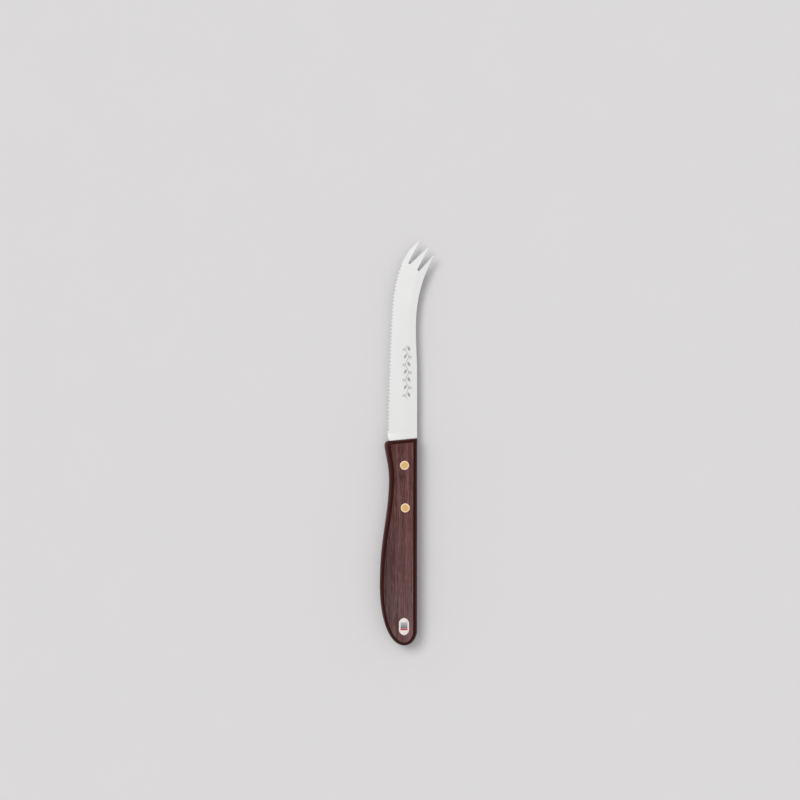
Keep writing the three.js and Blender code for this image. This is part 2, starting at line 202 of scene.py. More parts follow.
# Handle outline: a chain of straight lines and cubic curves, with the rounding's width at each point.
def handleOutline():
    look = handleLook
    quarter = look["quarterFullness"]
    neckIn, neckOut = look["neckFullness"]
    bellyIn, bellyOut = look["bellyFullness"]
    corner = np.array([0, frontAt(0)])
    lipX = look["lipRadius"] - look["lipHeight"]
    lipTop = np.array([lipX, frontAt(lipX)])
    lip = np.array([-look["lipHeight"], -look["lipSetback"]])
    neck = np.array([-look["neckHeight"], -look["neckSetback"]])
    belly = np.array([-bellyHeight, -look["bellySetback"]])
    butt = np.array([-look["buttHeight"], -handleLength])
    spineEnd = np.array([0, look["buttTurn"] - handleLength])
    lipRun, neckRun, buttRun = lip[1] - neck[1], neck[1] - belly[1], belly[1] - butt[1]
    turnX = lipTop[0] - quarter * look["lipRadius"]
    sweepX = butt[0] + look["buttFullness"] * (belly[0] - butt[0])
    up = np.array([0, 1])
    lipCurve = [lipTop, (turnX, frontAt(turnX)), lip + up * quarter * (frontAt(lip[0]) - lip[1]), lip]
    neckCurve = [lip, lip - up * look["lipFullness"] * lipRun, neck + up * neckIn * lipRun, neck]
    bellyCurve = [neck, neck - up * neckOut * neckRun, belly + up * bellyIn * neckRun, belly]
    buttCurve = [belly, belly - up * bellyOut * buttRun, (sweepX, butt[1]), butt]
    buttTop = spineEnd - up * quarter * look["buttTurn"]
    turnCurve = [butt, (butt[0] * (1 - quarter), butt[1]), buttTop, spineEnd]
    stretches = [
        ((corner, lipTop), "frontRound", "frontRound"),
        (lipCurve, "frontRound", "lipRound"),
        (neckCurve, "lipRound", "neckRound"),
        (bellyCurve, "neckRound", "edgeRound"),
        (buttCurve, "edgeRound", "buttRound"),
        (turnCurve, "buttRound", "edgeRound"),
        ((spineEnd, corner), "edgeRound", "frontRound"),
    ]
    parts, widths = [], []
    for (points, startRound, endRound), count in zip(stretches, look["outlinePoints"]):
        t = np.linspace(0, 1, count, endpoint=False)
        parts.append(straight(*points, count + 1)[:-1] if len(points) == 2 else cubic(points, t))
        widths.append(look[startRound] + (look[endRound] - look[startRound]) * t)
    return np.concatenate(parts), np.concatenate(widths)


# The way in to the rounding's foot: square to the outline, as long as the rounding is wide.
# Round the lip the foot is a smaller copy of the curve, and the neck's foot eases away from its end.
# Along the straight front and spine it runs evenly from one end's foot to the other's.
def wayToFoot(path, width):
    look = handleLook
    way = unitInset(path) * width[:, None]
    lipStart, lipEnd, neckEnd, _, _, spineStart, _ = np.cumsum(look["outlinePoints"])
    lipPoints = path[lipStart : lipEnd + 1]
    tip = np.array([-look["lipHeight"], frontAt(-look["lipHeight"])])
    footX = look["lipRound"] - look["lipHeight"]
    footTip = np.array([footX, frontAt(footX) - look["frontRound"]])
    toFoot = footTip + look["lipFoot"] * (lipPoints - tip) - lipPoints
    fade = np.linspace(1, 0, neckEnd - lipEnd, endpoint=False)[:, None]
    way[lipEnd:neckEnd] += (toFoot[-1] - way[lipEnd]) * fade
    way[lipStart:lipEnd] = toFoot[:-1]
    for start, end in ((0, lipStart), (spineStart, len(path))):
        way[start:end] = straight(way[start], way[end % len(path)], end - start + 1)[:-1]
    return way


# Slot: the disc of the saw that cut it, as thick as the slot is wide.
def slotCutter():
    look = handleLook
    angle = np.linspace(0, 2 * np.pi, look["sawSides"], endpoint=False)
    disc = np.column_stack([np.cos(angle), np.sin(angle)]) * look["sawRadius"]
    disc += [spineX - look["neckHeight"] / 2, frontY + look["sawRadius"] - look["slotDepth"]]
    half = look["slotWidth"] / 2
    sides = [np.column_stack([disc, np.full(len(disc), midZ + level)]) for level in (-half, half)]
    return makePiece("slot", np.concatenate(sides), stackFaces(2, len(disc)), look["sharpAngle"])


# Rivet bore: a turned form, wide for the heads at both faces and narrow for the tube between them.
def boreCutter(spot):
    look = handleLook
    wide, thin = look["headBore"] / 2, look["tubeBore"] / 2
    under, over = -look["boreSpare"], 2 * midZ + look["boreSpare"]
    lower, upper = look["headDepth"], 2 * midZ - look["headDepth"]
    backHalf = [(0, under), (wide, under), (wide, lower), (thin, lower)]
    frontHalf = [(thin, upper), (wide, upper), (wide, over), (0, over)]
    return turned("bore", spot, backHalf + frontHalf, look["boreSides"], look["sharpAngle"])


# Handle: rings of the outline, for angles a from the arris to 90 degrees. A ring lies in by 1 - sin a of
# the way to the foot and down by cos(arris) - cos a of the rounding's depth, each over its largest value.
def makeHandle():
    look = handleLook
    path, width = handleOutline()
    arris = math.radians(look["arris"])
    turn = np.linspace(arris, np.pi / 2, look["roundRings"])
    inward = (1 - np.sin(turn)) / (1 - np.sin(arris))
    down = (np.cos(arris) - np.cos(turn)) / np.cos(arris)
    flat = path + wayToFoot(path, width) * inward[:, None, None]
    side = midZ - width * look["edgeDrop"] / look["edgeRound"] * down[:, None]
    back = np.concatenate([flat, (midZ - side)[..., None]], axis=-1)
    front = np.concatenate([flat, (midZ + side)[..., None]], axis=-1)[::-1]
    rings = np.concatenate([back, front]) + [spineX, frontY, 0]
    faces = stackFaces(len(rings), len(path))
    handle = makePiece("handleWood", rings.reshape(-1, 3), faces, look["sharpAngle"])
    bores = [boreCutter(spot) for spot in rivetSpots.values()]
    carve(handle, [slotCutter(), *bores], look["sharpAngle"])
    print("handle: outline of", len(path), "points,", len(rings), "rings")
    return handle


bladeLook = {
    "heelHeight": 16.3,
    "heelLength": 3.4,
    "heelTuck": 1.1,  # how far nearer the spine its curve leaves the handle
    "heelRows": 9,
    "edgeThickness": 0.45,
    "grindHeight": 10.0,
    "sweepLength": 40.4,
    "sweepHeight": 14.1,
    "spineHollow": 0.65,
    "hollowSetback": 47.4,
    "spineStraight": 34.0,
    "edgeProngReach": 0.9,
    "middleProng": (5.8, 3.9),  # reach past the spine, setback from the longest prong's point
    "spineProngSetback": 7.8,
    "prongTipWidth": 0.4,
    "prongLean": 0.64,  # radians toward the spine
    "gaps": ((-4.2, 12.05), (0.75, 15.8)),  # reach and setback of the middle of each one's round bottom
    "gapRadius": 0.58,
    "gapRows": (7, 16),  # round the bottom, along the wall
    "bottomShare": 0.1,  # share of an outer prong's length beside the round bottom
    "toothPitch": 1.96,
    "toothDepth": 1.18,  # of the V, before its root is rounded
    "toothSteps": (0, 0.14, 0.28, 0.4, 0.5, 0.6, 0.72, 0.86),  # a tooth's rows, as shares of its pitch
    "gullySoftness": 0.14,
    "gullySlope": 1.6,  # a facet runs in this many times as far as it comes down
    "serrationStart": 1.2,
    "plainProng": 16.0,  # edge without teeth, up to the longest prong's point
    "plainStart": 0.4,  # first row of the edge, before the teeth
    "plainRows": 7,
    "creaseMargin": 0.35,  # columns of the plain face, from the crease and from the edge
    "faceColumns": (2.3, 3.3),
    "gullyPull": (1, 1, 1, 0.9, 0.35, 0, 0, 0),  # how far each column beside the edge follows the gullies
    "easedEdge": 0.1,
    "easedShare": 0.3,  # the most that easing takes of the steel's half thickness
    "tangLength": 46.0,
    "tangInset": 0.12,  # how far it stands below the wood
    "tangSetback": 0.06,  # how far behind the front end its spine ends
    "tangRows": 60,
    "tangBore": 3.9,
    "stepSetback": 0.04,  # how far behind the front end the spine steps out to its full height
    "heelCurl": 0.3,  # where the heel's curve turns, as a share of its length
    "heelFullness": 0.316,  # reach of each curve's handles, as shares of their stretches
    "sweepFullness": (0.21, 0.48),
    "edgeTipFullness": 0.18,
    "hollowFullness": 0.4,
    "spineSweepFullness": 0.42,
    "spineTipFullness": 0.29,
    "heelLean": 0.2,  # how far those handles stand aside
    "sweepLean": 0.9,
    "edgeTipLean": 9.8,
    "spineTipLean": 6.2,
    "curvePoints": 400,
    "rootPoints": 120,
    "underPoints": 60,  # on the line that carries the edge on under the tang
    "sharpAngle": 18,  # degrees
}


# Prong points, from the edge's to the spine's: a reach past the spine line, a setback from the blade's end.
def prongTips():
    look = bladeLook
    reaches = np.array([look["edgeProngReach"], look["middleProng"][0], forkReach])
    setbacks = np.array([0, look["middleProng"][1], look["spineProngSetback"]])
    return np.column_stack([reaches, bladeLength - setbacks])


# Edge: two cubic curves, from the heel to the start of the sweep and on to the longest prong's point.
def edgeLine():
    look = bladeLook
    t = np.linspace(0, 1, look["curvePoints"])
    heel = np.array([-look["heelHeight"], look["heelLength"]])
    sweep = np.array([-look["sweepHeight"], bladeLength - look["sweepLength"]])
    tip = prongTips()[0]
    plainRun = sweep[1] - heel[1]
    backward, onward = look["sweepFullness"]
    leave = heel + (look["heelLean"], look["heelFullness"] * plainRun)
    enter = sweep - (look["sweepLean"], backward * plainRun)
    rise = sweep + (look["sweepLean"], onward * look["sweepLength"])
    arrive = tip - (look["edgeTipLean"], look["edgeTipFullness"] * look["sweepLength"])
    return np.concatenate([cubic([heel, leave, enter, sweep], t)[:-1], cubic([sweep, rise, arrive, tip], t)])


# Spine: a straight line, then two cubic curves, into a shallow hollow and up to the shortest prong's point.
def spineLine():
    look = bladeLook
    t = np.linspace(0, 1, look["curvePoints"])
    bend = np.array([0, look["spineStraight"]])
    hollow = np.array([-look["spineHollow"], bladeLength - look["hollowSetback"]])
    tip = prongTips()[2]
    ease = np.array([0, look["hollowFullness"] * (hollow[1] - bend[1])])
    hookRun = tip[1] - hollow[1]
    rise = hollow + (0, look["spineSweepFullness"] * hookRun)
    arrive = tip - (look["spineTipLean"], look["spineTipFullness"] * hookRun)
    root = straight((0, look["heelLength"]), bend, look["rootPoints"])
    dip = cubic([bend, bend + ease, hollow - ease, hollow], t)
    return np.concatenate([root[:-1], dip[:-1], cubic([hollow, rise, arrive, tip], t)])


# Gully depth: a V across each pitch with a rounded root, as a hyperbola in the distance from the root.
def gullyDepth(phase):
    depth, soft = bladeLook["toothDepth"], bladeLook["gullySoftness"]
    flank = depth * np.abs(phase - 0.5) * 2
    return np.maximum(np.sqrt(depth**2 + soft**2) - np.sqrt(flank**2 + soft**2), 0)


# Thickness of the steel: thin at the edge, growing evenly with the distance from it up to the grind's top.
# Over the heel the grind runs out, by the share of the way back to the handle's slanted front end.
def steelAt(flat, edge):
    look = bladeLook
    under = straight((edge[0, 0], -look["tangLength"]), edge[0], look["underPoints"])
    line = np.concatenate([under[:-1], edge])
    distance = np.linalg.norm(flat[..., None, :] - line, axis=-1).min(axis=-1)
    ground = np.clip(1 - distance / look["grindHeight"], 0, 1)
    front = frontAt(flat[..., 0])
    runOut = np.clip((flat[..., 1] - front) / (edge[0, 1] - front), 0, 1)
    return steelThickness - (steelThickness - look["edgeThickness"]) * ground * runOut


# Tang sides: the handle's outline from the slot's end round the lip, just below the wood, and the spine.
# Both are read at the sines of even angles, so that the rows close up round the lip.
def tangSides(heelX):
    look = bladeLook
    path, _ = handleOutline()
    inside = path + unitInset(path) * look["tangInset"]
    wanted = (inside[:, 0] < heelX) & (inside[:, 1] > -look["tangLength"])
    spineEnds = np.array([[0, -look["tangLength"]], [0, frontAt(0)]])
    spineEnds -= (look["tangInset"], look["tangSetback"])
    crowded = np.sin(np.linspace(0, np.pi / 2, look["tangRows"]))
    return [along(line, crowded * runOf(line)[-1]) for line in (inside[wanted][::-1], spineEnds)]


# Heel sides: a parabola from the front end out to the edge, and the straight spine across from it.
def heelSides(heelX, edgeStart, spineStart):
    look = bladeLook
    t = np.linspace(0, 1, look["heelRows"])[:, None]
    foot = np.array([heelX, frontAt(heelX)])
    turn = np.array([-look["heelHeight"], look["heelLength"] * look["heelCurl"]])
    heel = foot * (1 - t) ** 2 + 2 * turn * t * (1 - t) + edgeStart * t**2
    return heel, straight((0, frontAt(0) - look["stepSetback"]), spineStart, look["heelRows"])


# Rows along the edge: plain ones, each tooth's from tip to root to tip, and plain ones up to the first gap.
# Gives their places along the edge, gully depths, which are toothed, and 1 or 0 for an eased or sharp edge.
def edgeRows(edgeLength, edgeStop):
    look = bladeLook
    start, ease = look["serrationStart"], look["easedEdge"]
    serrated = edgeLength - start - look["plainProng"]
    teeth = round(serrated / look["toothPitch"])
    steps = np.array(look["toothSteps"])
    phase = np.r_[np.tile(steps, teeth), 0]
    tooth = np.r_[np.repeat(np.arange(teeth), len(steps)), teeth]
    toothRun = start + (tooth + phase) * (serrated / teeth)
    before = np.r_[look["plainStart"], start - 2 * ease, start - ease]
    onward = np.linspace(toothRun[-1], edgeStop, look["plainRows"])[1:]
    run = np.r_[before, toothRun, toothRun[-1] + ease, toothRun[-1] + 2 * ease, onward]
    first, last = len(before), len(before) + len(phase)
    toothed, depth, eased = np.zeros(len(run), bool), np.zeros(len(run)), np.ones(len(run))
    toothed[first:last] = True
    depth[first:last] = gullyDepth(phase)
    eased[first - 1 : last + 1] = 0
    print("edge:", teeth, "teeth")
    return run, depth, toothed, eased


# Columns of the edge's strip, by distance from it: the teeth's ground facet, its crease, the plain face.
def edgeColumns(border, crease, depth, toothed):
    look = bladeLook
    ease = look["easedEdge"]
    near, far = (np.full(len(border), value) for value in look["faceColumns"])
    second = np.where(toothed, crease / 2, ease)
    margin = crease + look["creaseMargin"]
    columns = [0 * border, second, crease, margin, near, far, border - ease, border]
    return np.stack(columns, axis=1) + depth[:, None] * np.array(look["gullyPull"])


# Columns of the other strips: thirds of the way between the borders, and the eased arris at either side.
def plainColumns(low, high):
    margin = bladeLook["easedEdge"] / (high - low)
    whole = np.ones_like(low)
    share = np.stack([0 * whole, margin, whole / 3, 2 * whole / 3, 1 - margin, whole], axis=1)
    return low[:, None] + share * (high - low)[:, None]


# Gap wall: half of the gap's round bottom, then the straight tangent to the prong's corner.
def gapWall(center, prongWay, corner, side):
    radius = bladeLook["gapRadius"]
    arcRows, wallRows = bladeLook["gapRows"]
    away = corner - center
    tangent = math.atan2(away[1], away[0]) + side * math.acos(radius / np.linalg.norm(away))
    bottom = math.atan2(-prongWay[1], -prongWay[0]) + (2 * math.pi if side > 0 else 0)
    angle = np.linspace(bottom, tangent, arcRows)
    arc = center + radius * np.column_stack([np.cos(angle), np.sin(angle)])
    return np.concatenate([arc, straight(arc[-1], corner, wallRows + 1)[1:]])


# Prong walls: the edge, both walls of each gap and the spine, from the gaps' bottoms to the points.
def prongWalls(edge, spine, edgeStop, spineStop, gaps, prongWay):
    look = bladeLook
    edgeTip, middleTip, spineTip = prongTips()
    tipStep = np.array([prongWay[1], -prongWay[0]]) * look["prongTipWidth"]
    arcRows, wallRows = look["gapRows"]
    bottom = look["bottomShare"]
    share = np.r_[np.linspace(0, bottom, arcRows), np.linspace(bottom, 1, wallRows + 1)[1:]]
    return [
        along(edge, edgeStop + share * (runOf(edge)[-1] - edgeStop)),
        gapWall(gaps[0], prongWay, edgeTip + tipStep, 1),
        gapWall(gaps[0], prongWay, middleTip - tipStep / 2, -1),
        gapWall(gaps[1], prongWay, middleTip + tipStep / 2, 1),
        gapWall(gaps[1], prongWay, spineTip - tipStep, -1),
        along(spine, spineStop + share * (runOf(spine)[-1] - spineStop)),
    ]


# One strip of the blade: two sheets over a grid of points, walls where a side is open, and end caps.
def stripMesh(flat, top, bottom, first, leftOpen, rightOpen):
    rows, columns = flat.shape[:2]
    count = rows * columns
    sheets = [np.concatenate([flat, level[..., None]], axis=-1).reshape(-1, 3) for level in (top, bottom)]
    faces = [gridFaces(rows, columns, first), gridFaces(rows, columns, first + count)[:, ::-1]]
    number = first + np.arange(count).reshape(rows, columns)
    closed = np.ones(columns, bool)
    rims = [
        (number[:, 0], leftOpen, 1),
        (number[:, -1], rightOpen, -1),
        (number[0], closed, -1),
        (number[-1], closed, 1),
    ]
    for rim, walled, way in rims:
        wall = np.stack([rim[:-1], rim[1:], rim[1:] + count, rim[:-1] + count], axis=-1)
        faces.append(wall[walled[:-1] & walled[1:], ::way])
    return np.concatenate(sheets), np.concatenate(faces)


# Blade: rows cross the steel from edge to spine, and past the gaps' bottoms each row parts into three.
# A tooth's facet comes down from the face at the gully's slope, and its crease lies where it meets the back.
def makeBlade():
    look = bladeLook
    edge, spine = edgeLine(), spineLine()
    prongWay = np.array([math.sin(look["prongLean"]), math.cos(look["prongLean"])])
    gaps = np.array(look["gaps"]) * (1, -1) + (0, bladeLength)
    roots = gaps - look["gapRadius"] * prongWay
    edgeStop = np.interp(roots[0] @ prongWay, edge @ prongWay, runOf(edge))
    spineStop = np.interp(roots[1] @ prongWay, spine @ prongWay, runOf(spine))

    heelX = look["heelTuck"] - look["heelHeight"]
    tangLeft, tangRight = tangSides(heelX)
    heelLeft, heelRight = heelSides(heelX, edge[0], spine[0])
    run, depth, toothed, eased = edgeRows(runOf(edge)[-1], edgeStop)
    left = np.concatenate([tangLeft, heelLeft, along(edge, run)])
    right = np.concatenate([tangRight, heelRight, along(spine, run / edgeStop * spineStop)])
    early = len(left) - len(run)
    depth, toothed = np.pad(depth, (early, 0)), np.pad(toothed, (early, 0))
    eased = np.pad(eased, (early, 0), constant_values=1)

    width = np.linalg.norm(right - left, axis=1)
    way = (right - left) / width[:, None]
    parts = np.linalg.norm(roots - left[-1], axis=1) / width[-1]
    borders = [0 * width, parts[0] * width, parts[1] * width, width]
    walls = prongWalls(edge, spine, edgeStop, spineStop, gaps, prongWay)
    slope, taper = look["gullySlope"], (steelThickness - look["edgeThickness"]) / look["grindHeight"]
    crease = slope * (look["edgeThickness"] + taper * depth) / (1 - slope * taper)
    points, faces, first = [], [], 0
    for strip in range(3):
        atEdge, atSpine = strip == 0, strip == 2
        low, high = borders[strip : strip + 2]
        columns = edgeColumns(high, crease, depth, toothed) if atEdge else plainColumns(low, high)
        share = (columns[-1] - low[-1]) / (high[-1] - low[-1])
        start, end = walls[2 * strip][1:], walls[2 * strip + 1][1:]
        body = left[:, None] + way[:, None] * columns[..., None]
        prong = start[:, None] + (end - start)[:, None] * share[:, None]
        flat = np.concatenate([body, prong])
        half = steelAt(flat, edge) / 2
        top, bottom = half.copy(), -half

        # the outer sides are eased all along, the gaps' walls only past their bottoms
        row = np.arange(len(flat))
        forked, parted, whole = row >= len(body) - 1, row >= len(body), row >= 0
        leftEase = np.r_[eased, np.ones(len(prong))] if atEdge else parted
        rightEase = whole if atSpine else parted
        for column, easing in ((0, leftEase), (-1, rightEase)):
            drop = easing * np.minimum(look["easedEdge"], look["easedShare"] * half[:, column])
            top[:, column] -= drop
            bottom[:, column] += drop
        if atEdge:
            teeth = np.flatnonzero(toothed)
            bottom[teeth, 0] = top[teeth, 0]
            bottom[teeth, 1] = top[teeth, 1] - crease[teeth] / 2 / slope
        leftOpen, rightOpen = whole if atEdge else forked, whole if atSpine else forked
        stripPoints, stripFaces = stripMesh(flat, top, bottom, first, leftOpen, rightOpen)
        points.append(stripPoints)
        faces.append(stripFaces)
        first += len(stripPoints)
    points = np.concatenate(points) + [spineX, frontY, midZ]
    blade = makePiece("bladeSteel", points, np.concatenate(faces).tolist(), look["sharpAngle"])
    radius, sides, angle = look["tangBore"] / 2, handleLook["boreSides"], look["sharpAngle"]
    bore = [(0, 0), (radius, 0), (radius, 2 * midZ), (0, 2 * midZ)]
    carve(blade, [turned("tangBore", spot, bore, sides, angle) for spot in rivetSpots.values()], angle)
    print("blade:", len(width), "rows and three prongs")
    return blade


rivetLook = {
    "headThickness": 1.6,
    "pin": 2.5,
    "tube": 3.8,
    "bore": 2.6,
    "chamfer": 0.12,
    "crown": 0.025,  # the sanded head stands this much higher in the middle
    "crownRings": 7,
    "sides": 72,
    "sharpAngle": 35,  # degrees
}


# Crowned head: height falls with the square of the radius, out to a small chamfer.
def crownedHead(radius, face, way):
    look = rivetLook
    r = np.linspace(0, radius - look["chamfer"], look["crownRings"])
    height = face - way * look["crown"] * (r / radius) ** 2
    head = np.column_stack([r, height])
    return np.concatenate([head, [[radius, height[-1] - way * look["chamfer"]]]])


# Rivet: a pin half with its head on the labelled face, pressed into a tube half with its head on the back.
# Each is a profile of its shank and its crowned head, turned on the rivet's axis.
def makeRivet(place):
    look = rivetLook
    spot, sides, angle = rivetSpots[place], look["sides"], look["sharpAngle"]
    low, high = boxOf(place + "_rivet_pin")
    radius = (high[0] - low[0]) / 2
    seat = high[2] - look["headThickness"]
    pin, chamfer = look["pin"] / 2, look["chamfer"]
    shank = [(0, low[2]), (pin - chamfer, low[2]), (pin, low[2] + chamfer), (pin, seat), (radius, seat)]
    profile = np.concatenate([shank, crownedHead(radius, high[2], 1)[::-1]])
    pinHalf = turned(place + "RivetPin", spot, profile, sides, angle)

    low, high = boxOf(place + "_rivet_tube")
    seat = low[2] + look["headThickness"]
    tube, hole = look["tube"] / 2, look["bore"] / 2
    sleeve = [(radius, seat), (tube, seat), (tube, high[2]), (hole, high[2]), (hole, seat), (0, seat)]
    profile = np.concatenate([crownedHead(radius, low[2], -1), sleeve])
    tubeHalf = turned(place + "RivetTube", spot, profile, sides, angle)
    print(place, "rivet: head", round(2 * radius, 2), "mm")
    return pinHalf, tubeHalf


labelLook = {
    "endPower": 1.72,  # shape of the ends: 2 is a half circle, less is more pointed
    "edgeRound": 0.1,
    "rimRings": 6,
    "arcPoints": 40,
    "sharpAngle": 30,  # degrees
}


# Label: two slightly pointed half rounds, where the powers of x and y add up to the radius's,
# joined by straight sides and carried up over a rounded rim.
def makeLabel():
    look = labelLook
    low, high = boxOf("label")
    middle = (low + high) / 2
    radius = (high[0] - low[0]) / 2
    half = (high[1] - low[1]) / 2 - radius
    angle = np.linspace(0, np.pi, look["arcPoints"])
    center = np.repeat([half, -half], len(angle))
    angle = np.r_[angle, angle + np.pi]
    waves = np.cos(angle), np.sin(angle)
    outX, outY = (np.sign(wave) * np.abs(wave) ** (2 / look["endPower"]) for wave in waves)
    turn = np.linspace(0, np.pi / 2, look["rimRings"])
    reach = radius - np.r_[0, look["edgeRound"] * (1 - np.cos(turn))][:, None]
    level = np.r_[low[2], high[2] - look["edgeRound"] * (1 - np.sin(turn))][:, None]
    x = middle[0] + reach * outX
    y = middle[1] + center + reach * outY
    points = np.stack([x, y, np.broadcast_to(level, x.shape)], axis=-1).reshape(-1, 3)
    print("label:", round(2 * radius, 2), "mm wide")
    return makePiece("buttLabel", points, stackFaces(len(level), len(angle)), look["sharpAngle"])


noiseRange = (0.3, 0.7)  # where nearly all values of a noise lie


# A node with its settings, its sockets linked or set to plain values.
def put(tree, kind, inputs=None, **settings):
    node = tree.nodes.new(kind)
    for key, value in settings.items():
        setattr(node, key, value)
    for key, value in (inputs or {}).items():
        if isinstance(value, bpy.types.NodeSocket):
            tree.links.new(value, node.inputs[key])
        else:
            node.inputs[key].default_value = value
    return node


# A new material with its shader and output, and the piece's own coordinates.
def newMaterial(name):
    material = bpy.data.materials.new(name)
    material.use_nodes = True
    tree = material.node_tree
    tree.nodes.clear()
    shader = put(tree, "ShaderNodeBsdfPrincipled")
    put(tree, "ShaderNodeOutputMaterial", {"Surface": shader.outputs["BSDF"]})
    coords = put(tree, "ShaderNodeTexCoord").outputs["Object"]
    return material, tree, shader, coords


# One step of arithmetic on sockets or plain numbers.
def calc(tree, operation, a, b=0.0):
    return put(tree, "ShaderNodeMath", {0: a, 1: b}, operation=operation).outputs[0]


# a + b
def plus(tree, a, b):
    return calc(tree, "ADD", a, b)


# a - b
def minus(tree, a, b):
    return calc(tree, "SUBTRACT", a, b)


# a * b
def times(tree, a, b):
    return calc(tree, "MULTIPLY", a, b)


# How far a value lies from a middle, beyond a half size.
def beyond(tree, value, middle, half):
    return minus(tree, calc(tree, "ABSOLUTE", minus(tree, value, middle)), half)


# The x, y and z of the coordinates.
def split(tree, coords):
    return put(tree, "ShaderNodeSeparateXYZ", {0: coords}).outputs


# The x, y and z from a place, both in millimetres.
def splitFrom(tree, coords, place):
    spot = Vector(place) * mm
    local = put(tree, "ShaderNodeVectorMath", {0: coords, 1: spot}, operation="SUBTRACT").outputs[0]
    scaled = put(tree, "ShaderNodeVectorMath", {0: local, "Scale": 1 / mm}, operation="SCALE").outputs[0]
    return split(tree, scaled)


# Noise stretched by a scale per axis, in repeats per metre.
def grainNoise(tree, coords, scale, detail=3.0, roughness=0.55, offset=(0, 0, 0)):
    moved = put(tree, "ShaderNodeMapping", {"Vector": coords, "Location": offset, "Scale": scale}).outputs[0]
    inputs = {"Vector": moved, "Scale": 1.0, "Detail": detail, "Roughness": roughness}
    return put(tree, "ShaderNodeTexNoise", inputs).outputs["Fac"]


# Colours between which a value from 0 to 1 runs evenly, each at its own place.
def ramp(tree, value, places, colors):
    node = put(tree, "ShaderNodeValToRGB", {"Fac": value})
    elements = node.color_ramp.elements
    while len(elements) < len(places):
        elements.new(places[len(elements) - 1])
    for element, place, color in zip(elements, places, colors):
        element.position = place
        element.color = (*color, 1)
    return node.outputs["Color"]


# The range from low to high brought evenly onto another range, and held at its ends.
def span(tree, value, fromLow, fromHigh, toLow=0.0, toHigh=1.0):
    inputs = {"Value": value, 1: fromLow, 2: fromHigh, 3: toLow, 4: toHigh}
    return put(tree, "ShaderNodeMapRange", inputs, clamp=True).outputs[0]


# A mix of two colours: the first at a factor of 0, the second at 1.
def tint(tree, factor, a, b):
    node = put(tree, "ShaderNodeMix", {0: factor}, data_type="RGBA", clamp_factor=True)
    for socket, color in ((6, a), (7, b)):
        if isinstance(color, bpy.types.NodeSocket):
            tree.links.new(color, node.inputs[socket])
        else:
            node.inputs[socket].default_value = (*color, 1)
    return node.outputs[2]


# Relief: a height field as a bump, by its strength and its depth in millimetres.
def emboss(tree, shader, height, strength, depth):
    bump = put(tree, "ShaderNodeBump", {"Height": height, "Strength": strength, "Distance": depth * mm})
    tree.links.new(bump.outputs[0], shader.inputs["Normal"])


rosewoodLook = {
    "dark": (0.045, 0.013, 0.012),
    "middle": (0.098, 0.036, 0.034),
    "light": (0.165, 0.08, 0.074),
    "pore": (0.028, 0.007, 0.006),
    "weathered": (0.135, 0.075, 0.071),
    "fleck": (0.23, 0.15, 0.14),  # dust of the sanding in the pores of the flat faces
    "edgeShade": (0.0265, 0.0029, 0.001),  # painted shade on the rounded edges, a dark red-black
    "wander": {"scale": (60, 14, 60), "detail": 2},
    "sway": 8.0,  # millimetres that the grain wanders
    "bands": {"scale": (300, 5, 300), "detail": 4, "roughness": 0.6},
    "streaks": {"scale": (1300, 26, 1300), "detail": 4, "roughness": 0.65},
    "pores": {"scale": (3600, 130, 3600), "detail": 1.5, "roughness": 0.5},
    "flecks": {"scale": (3800, 170, 3800), "detail": 1.5, "offset": (3.7, 1.3, 5.1)},
    "patches": {"scale": (45, 16, 45), "detail": 2, "offset": (0.4, 0.2, 0.9)},
    "bandPlaces": (0.32, 0.5, 0.7),  # where the bands are dark, middle and light
    "patchSpan": (0.4, 0.7, 0.0, 0.5),  # where a noise begins and is full, and its shares there
    "streakSpan": (0.4, 0.68, 0.0, 0.8),
    "fleckSpan": (0.57, 0.72, 0.0, 0.4),
    "poreSpan": (0.58, 0.68),
    "poreShare": 0.75,
    "worn": (28, 112),  # millimetres behind the front end where the wear begins and is full
    "wornShare": 0.9,
    "paleSide": (16, 3),  # millimetres from the spine between which the sanded face grows paler
    "sideTone": (0.77, 1.31),  # its brightness at either end of that
    "edgeShadeDepth": (0.25, 0.97),  # how much of the painted shade covers the side, and the turn of the edge
    "edgeShadeTurn": (2.2, 0.6),  # millimetres below the face where that changes
    "faceBand": (0.1, 0.03),  # millimetres below the face where the sanding begins and is full
    "faceRoughness": (0.48, 0.62),
    "edgeRoughness": (0.26, 0.36),
    "streakRelief": 0.3,
    "relief": (0.3, 0.08),
    "specular": 0.1,
}
